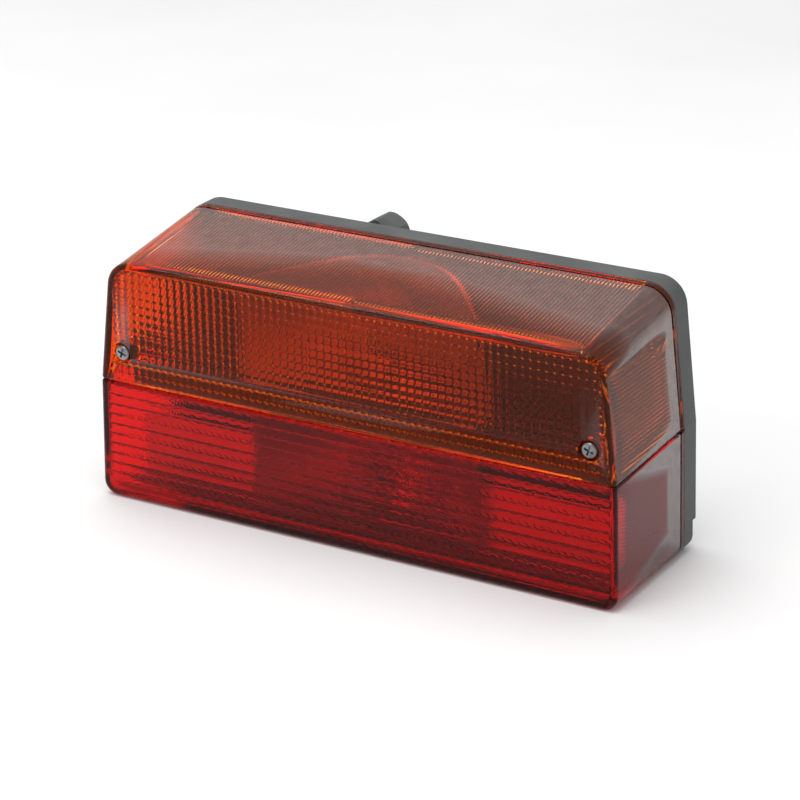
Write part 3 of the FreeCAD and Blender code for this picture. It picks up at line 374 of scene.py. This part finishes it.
FRONT_GRID = (PILLOW_PITCH / PILLOW_STEPS, PILLOW_PITCH / PILLOW_STEPS, 0.0)
FLUTE_GRID = (STUD_PITCH / STUD_STEPS, FLUTE_PITCH / FLUTE_STEPS, FLUTE_CREASE)
RIB_GRID = (RIB_PITCH / RIB_STEPS, LONG_STEP, 0.0)
SIDE_RIB_GRID = (LONG_STEP, RIB_PITCH / RIB_STEPS, 0.0)
CORNER_GRID = (CORNER_PITCH / CORNER_STEPS, LONG_STEP, 0.0)
FROST_GRID = (FROST_PITCH / FROST_STEPS, FROST_PITCH / FROST_STEPS, 0.0)


def wall(facing, across, grid, relief, find=flat_wall):
    """The settings of repattern() for one wall."""
    return {"facing": facing, "across": across, "grid": grid, "relief": relief, "find": find}


AMBER_WALLS = [
    wall((-1, 0.12, -1), (1, 0, -1), CORNER_GRID, corner_relief, corner_wall),
    wall((1, 0.12, -1), (1, 0, 1), CORNER_GRID, corner_relief, corner_wall),
    wall((0, 1, 0), (1, 0, 0), FRONT_GRID, amber_front_relief),
    wall((0, 0.13, -1), (1, 0, 0), RIB_GRID, rib_relief),
    wall((1, 0, -0.1), (0, 1, 0), SIDE_RIB_GRID, side_rib_relief),
    wall((-1, 0, -0.1), (0, 1, 0), SIDE_RIB_GRID, side_rib_relief),
]
RED_WALLS = [
    wall((0, 1, 0), (1, 0, 0), FLUTE_GRID, red_front_relief),
    wall((1, 0, 0), (0, 1, 0), FROST_GRID, frost_relief),
    wall((-1, 0, 0), (0, 1, 0), FROST_GRID, frost_relief),
]


# ---- material helpers ----
METAL = {"Metallic": 1.0}
MATT = {"Specular IOR Level": 0.3}
GLOSSY = {"Specular IOR Level": 0.5}
CLEAR = {"Transmission Weight": 1.0, "IOR": 1.49, "Specular Tint": (0.25, 0.25, 0.25, 1)}
CLOUDY = {**CLEAR, "Transmission Weight": 0.985}
NOISE_ROUGHNESS = 0.55
NOISE_MIDDLE = (0.3, 0.7)   # the part of a noise's range that is spread over a value's own range
COLOUR_MIDDLE = (0.35, 0.65)
PATCH_DETAIL = 4.0
GRAIN_DETAIL = 3.0
HAZE_NOISE = (220.0, 5.0)   # scale and detail
FLOW_NOISE = (35.0, 2.0)
FLOW_DEPTH = 0.05 * MM


def new_material(name, colour, settings):
    """A material whose uniform values are set on the shader's own sockets; returns it with its tree."""
    made = bpy.data.materials.new(name)
    made.use_nodes = True
    shader = made.node_tree.nodes["Principled BSDF"]
    shader.inputs["Base Color"].default_value = (*colour, 1)
    for label, value in settings.items():
        shader.inputs[label].default_value = value
    return made, made.node_tree, shader


def noise(tree, scale, detail):
    """Noise in the object's own metres."""
    place = tree.nodes.new("ShaderNodeTexCoord")
    grain = tree.nodes.new("ShaderNodeTexNoise")
    grain.inputs["Scale"].default_value = scale
    grain.inputs["Detail"].default_value = detail
    grain.inputs["Roughness"].default_value = NOISE_ROUGHNESS
    tree.links.new(place.outputs["Object"], grain.inputs["Vector"])
    return grain.outputs["Fac"]


def spread(tree, source, low, high):
    """Maps a noise's middle range to values from low to high."""
    node = tree.nodes.new("ShaderNodeMapRange")
    node.inputs["From Min"].default_value, node.inputs["From Max"].default_value = NOISE_MIDDLE
    node.inputs["To Min"].default_value = low
    node.inputs["To Max"].default_value = high
    tree.links.new(source, node.inputs["Value"])
    return node.outputs["Result"]


def blend_colours(tree, source, dark, light):
    """A colour between dark and light, by a noise."""
    node = tree.nodes.new("ShaderNodeValToRGB")
    for stop, position, colour in zip(node.color_ramp.elements, COLOUR_MIDDLE, (dark, light)):
        stop.position = position
        stop.color = (*colour, 1)
    tree.links.new(source, node.inputs["Fac"])
    return node.outputs["Color"]


def add_bump(tree, shader, source, depth):
    node = tree.nodes.new("ShaderNodeBump")
    node.inputs["Distance"].default_value = depth
    node.inputs["Strength"].default_value = 1.0
    tree.links.new(source, node.inputs["Height"])
    tree.links.new(node.outputs["Normal"], shader.inputs["Normal"])


def varied(name, dark, light, roughness, patch_scale, grain_depth, grain_scale, settings):
    """The plain recipe: colour and roughness vary with one noise, and a finer one makes the grain."""
    made, tree, shader = new_material(name, light, settings)
    patches = noise(tree, patch_scale, PATCH_DETAIL)
    tree.links.new(blend_colours(tree, patches, dark, light), shader.inputs["Base Color"])
    tree.links.new(spread(tree, patches, *roughness), shader.inputs["Roughness"])
    add_bump(tree, shader, noise(tree, grain_scale, GRAIN_DETAIL), grain_depth)
    return made


def see_through(name, colour, haze, settings, density=0.0, through=(1, 1, 1)):
    """Acrylic or glass: faint flow waves on the skin, a little haze, and more colour where it's thick."""
    made, tree, shader = new_material(name, colour, settings)
    waves = noise(tree, *FLOW_NOISE)
    tree.links.new(spread(tree, noise(tree, *HAZE_NOISE), *haze), shader.inputs["Roughness"])
    add_bump(tree, shader, waves, FLOW_DEPTH)
    if density:
        dye = tree.nodes.new("ShaderNodeVolumeAbsorption")
        dye.inputs["Color"].default_value = (*through, 1)
        dye.inputs["Density"].default_value = density
        tree.links.new(dye.outputs["Volume"], tree.nodes["Material Output"].inputs["Volume"])
    return made


# ---- materials ----
# The record's material slots, with the arguments of varied().
SOLID_FINISHES = {
    "black_plastic": (
        "moulded_black_plastic", (0.066, 0.07, 0.068), (0.096, 0.102, 0.099),
        (0.5, 0.66), 60, 0.06 * MM, 1500, MATT,
    ),
    "seal_rubber": (
        "seal_rubber_skin", (0.012, 0.012, 0.012), (0.03, 0.03, 0.03),
        (0.65, 0.85), 90, 0.04 * MM, 2200, MATT,
    ),
    "metallised_plastic": (
        "metallised_skin", (0.66, 0.66, 0.67), (0.78, 0.78, 0.79),
        (0.34, 0.46), 45, 0.01 * MM, 300, METAL,
    ),
    "zinc_steel": (
        "zinc_plate", (0.13, 0.13, 0.14), (0.32, 0.33, 0.35),
        (0.1, 0.24), 220, 0.02 * MM, 900, METAL,
    ),
    "terminal_plastic": (
        "terminal_moulding", (0.42, 0.38, 0.30), (0.52, 0.48, 0.39),
        (0.4, 0.55), 80, 0.02 * MM, 1400, MATT,
    ),
    "nylon": (
        "black_nylon", (0.010, 0.010, 0.011), (0.02, 0.02, 0.021),
        (0.3, 0.5), 120, 0.03 * MM, 1200, GLOSSY,
    ),
    "brass": (
        "rolled_brass", (0.55, 0.36, 0.14), (0.78, 0.56, 0.25),
        (0.22, 0.42), 120, 0.01 * MM, 700, METAL,
    ),
    "plated_brass": (
        "nickel_plate", (0.6, 0.57, 0.5), (0.75, 0.72, 0.66),
        (0.18, 0.34), 150, 0.01 * MM, 800, METAL,
    ),
    "insulating_board": (
        "pressed_board", (0.16, 0.07, 0.025), (0.28, 0.13, 0.05),
        (0.55, 0.75), 400, 0.03 * MM, 2500, MATT,
    ),
    "spring_steel": (
        "spring_wire", (0.32, 0.32, 0.34), (0.52, 0.52, 0.55),
        (0.22, 0.38), 200, 0.01 * MM, 1500, METAL,
    ),
    "black_glass": (
        "bulb_base_glass", (0.008, 0.008, 0.012), (0.02, 0.02, 0.028),
        (0.06, 0.16), 150, 0.02 * MM, 600, GLOSSY,
    ),
    "solder": (
        "lead_solder", (0.34, 0.34, 0.34), (0.55, 0.55, 0.54),
        (0.3, 0.5), 300, 0.03 * MM, 900, METAL,
    ),
    "filament_wire": (
        "tungsten_wire", (0.12, 0.12, 0.13), (0.24, 0.24, 0.25),
        (0.3, 0.45), 500, 0.005 * MM, 3000, METAL,
    ),
}
# The same, with the arguments of see_through().
CLEAR_FINISHES = {
    "amber_acrylic": (
        "amber_acrylic_skin", (0.98, 0.26, 0.02), (0.05, 0.09), CLOUDY, 400, (0.985, 0.88, 0.05),
    ),
    "red_acrylic": (
        "red_acrylic_skin", (0.94, 0.05, 0.045), (0.06, 0.10), CLOUDY, 700, (0.972, 0.0, 0.0),
    ),
    "bulb_glass": ("bulb_glass_clear", (0.98, 0.98, 0.97), (0.0, 0.02), CLEAR),
}
FLOOR_FINISH = (
    "pale_floor", (0.80, 0.80, 0.80), (0.84, 0.84, 0.84),
    (0.6, 0.8), 3, 0.1 * MM, 40, MATT,
)


def paint_nodes(finishes):
    """Gives every CAD node the finish of its slot in the record."""
    for part in frame["record"]["subparts"]:
        for slot in frame["nodes"][part["node"]].material_slots:
            slot.material = finishes[part["material_slot"]]


def squashed_springs(name, node):
    """The contact springs again, as a piece of its own on the base."""
    piece = bpy.data.objects.new(name, frame["nodes"][node].data.copy())
    bpy.context.scene.collection.objects.link(piece)
    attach(piece, "base")
    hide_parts(node)
    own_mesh(piece)


# ---- studio ----
FLOOR_SIZE = 30.0
FLOOR_GAP = 0.05 * MM
WORLD_BRIGHTNESS = 0.66
# name: (place, aim, size, watts)
SOFTBOXES = {
    "overhead": ((-0.2, -0.1, 1.4), (0, 0, 0), (1.6, 1.1), 17),
    "front": ((-0.5, -1.7, 1.1), (0, 0, 0.03), (1.2, 0.8), 8),
}


def make_floor(finish):
    """A wide pale floor just under the lamp."""
    bm = bmesh.new()
    bmesh.ops.create_grid(bm, x_segments=8, y_segments=8, size=FLOOR_SIZE)
    mesh = bpy.data.meshes.new("floor")
    bm.to_mesh(mesh)
    bm.free()
    floor = bpy.data.objects.new("floor", mesh)
    floor.location = (0, 0, cad_box[0][2] - FLOOR_GAP)
    mesh.materials.append(finish)
    bpy.context.scene.collection.objects.link(floor)


def softbox(name, place, aim, size, power):
    light = bpy.data.lights.new(name, "AREA")
    light.shape = "RECTANGLE"
    light.size, light.size_y = size
    light.energy = power
    holder = bpy.data.objects.new(name, light)
    holder.location = place
    holder.rotation_euler = (Vector(aim) - Vector(place)).to_track_quat("-Z", "Y").to_euler()
    bpy.context.scene.collection.objects.link(holder)


def make_world(brightness):
    world = bpy.data.worlds.new("studio")
    world.use_nodes = True
    background = world.node_tree.nodes["Background"]
    background.inputs["Color"].default_value = (1, 1, 1, 1)
    background.inputs["Strength"].default_value = brightness
    bpy.context.scene.world = world


def make_camera():
    azimuth, elevation, roll = (math.radians(a) for a in (AZIMUTH, ELEVATION, ROLL))
    back = Vector((
        math.sin(azimuth) * math.cos(elevation),
        -math.cos(azimuth) * math.cos(elevation),
        math.sin(elevation),
    ))
    level_right = Vector((0, 0, 1)).cross(back).normalized()
    level_up = back.cross(level_right)
    right = math.cos(roll) * level_right + math.sin(roll) * level_up
    up = math.cos(roll) * level_up - math.sin(roll) * level_right
    data = bpy.data.cameras.new("camera")
    data.lens = FOCAL_LENGTH
    data.sensor_width = 36.0
    data.clip_end = 200.0
    camera = bpy.data.objects.new("camera", data)
    place = lens_middle() + AIM_FROM_LENS + back * DISTANCE
    turn = Matrix((right, up, back)).transposed().to_4x4()
    camera.matrix_world = Matrix.Translation(place) @ turn
    bpy.context.scene.collection.objects.link(camera)
    bpy.context.scene.camera = camera


# ---- assembly ----
LENSES = (
    ("amber_lens_optics", "amber_lens", "amber_acrylic", AMBER_WALLS),
    ("red_lens_optics", "red_lens", "red_acrylic", RED_WALLS),
)

make_camera()
finishes = {slot: varied(*recipe) for slot, recipe in SOLID_FINISHES.items()}
finishes.update({slot: see_through(*recipe) for slot, recipe in CLEAR_FINISHES.items()})
paint_nodes(finishes)
for name, node, slot, walls in LENSES:
    lens = patterned_lens(name, node, walls)
    lens.data.materials.append(finishes[slot])
for colour in ("amber", "red"):
    springs = colour + "_contact_springs"
    squashed_springs(colour + "_contact_coils", springs)

bpy.context.scene.view_settings.view_transform = "Standard"
make_floor(varied(*FLOOR_FINISH))
make_world(WORLD_BRIGHTNESS)
for name, settings in SOFTBOXES.items():
    softbox(name, *settings)
